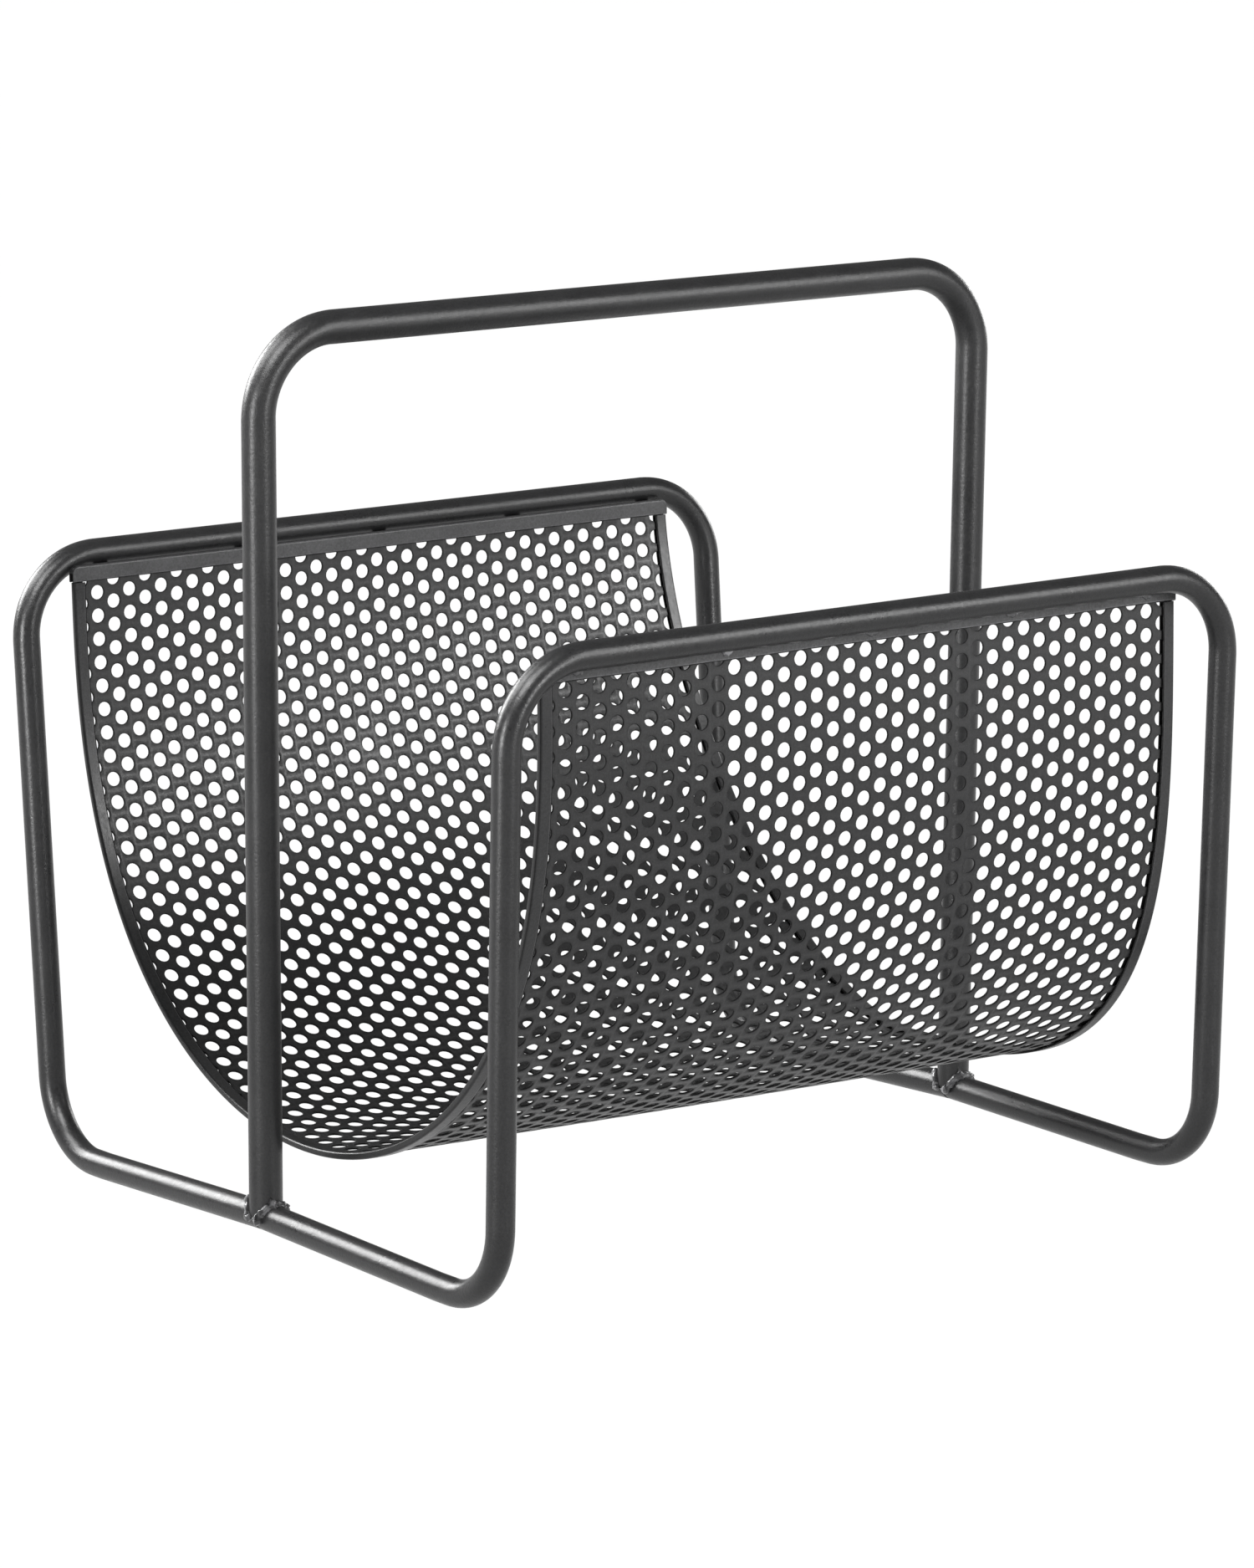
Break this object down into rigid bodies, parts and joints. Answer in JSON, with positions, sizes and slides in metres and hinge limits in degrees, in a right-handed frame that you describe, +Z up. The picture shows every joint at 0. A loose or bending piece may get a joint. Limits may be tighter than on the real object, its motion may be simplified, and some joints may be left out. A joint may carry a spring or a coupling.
{
  "type": "magazine rack",
  "caption": "Freestanding steel tube magazine rack with a U-shaped perforated sheet sling between two bent tube arches and a tall carrying handle.",
  "frame": {"origin": "on the floor, midway between the four feet", "axes": "+X along the rails and the handle bar to the right, +Y from the front arch to the back arch, +Z up"},
  "size_m": [0.3276, 0.3212, 0.3281],
  "materials": {
    "frame_coat": "satin fine-grained powder coat",
    "handle_coat": "satin fine-grained powder coat",
    "sheet_coat": "matte fine-grained powder coat",
    "trim_coat": "matte fine-grained powder coat",
    "weld_coat": "glossier powder coat over weld metal"
  },
  "bodies": {
    "root": {"front_frame_tube": "frame_coat", "back_frame_tube": "frame_coat", "handle_tube": "handle_coat", "perforated_sling": "sheet_coat", "front_top_trim": "trim_coat", "back_top_trim": "trim_coat", "left_side_trim": "trim_coat", "right_side_trim": "trim_coat", "left_butt_weld": "weld_coat", "right_butt_weld": "weld_coat", "left_foot_weld_front": "weld_coat", "left_foot_weld_back": "weld_coat", "right_foot_weld_front": "weld_coat", "right_foot_weld_back": "weld_coat", "front_tack_weld_1": "weld_coat", "front_tack_weld_2": "weld_coat", "front_tack_weld_3": "weld_coat", "front_tack_weld_4": "weld_coat", "front_tack_weld_5": "weld_coat", "back_tack_weld_1": "weld_coat", "back_tack_weld_2": "weld_coat", "back_tack_weld_3": "weld_coat", "back_tack_weld_4": "weld_coat", "back_tack_weld_5": "weld_coat"}
  },
  "joints": []
}
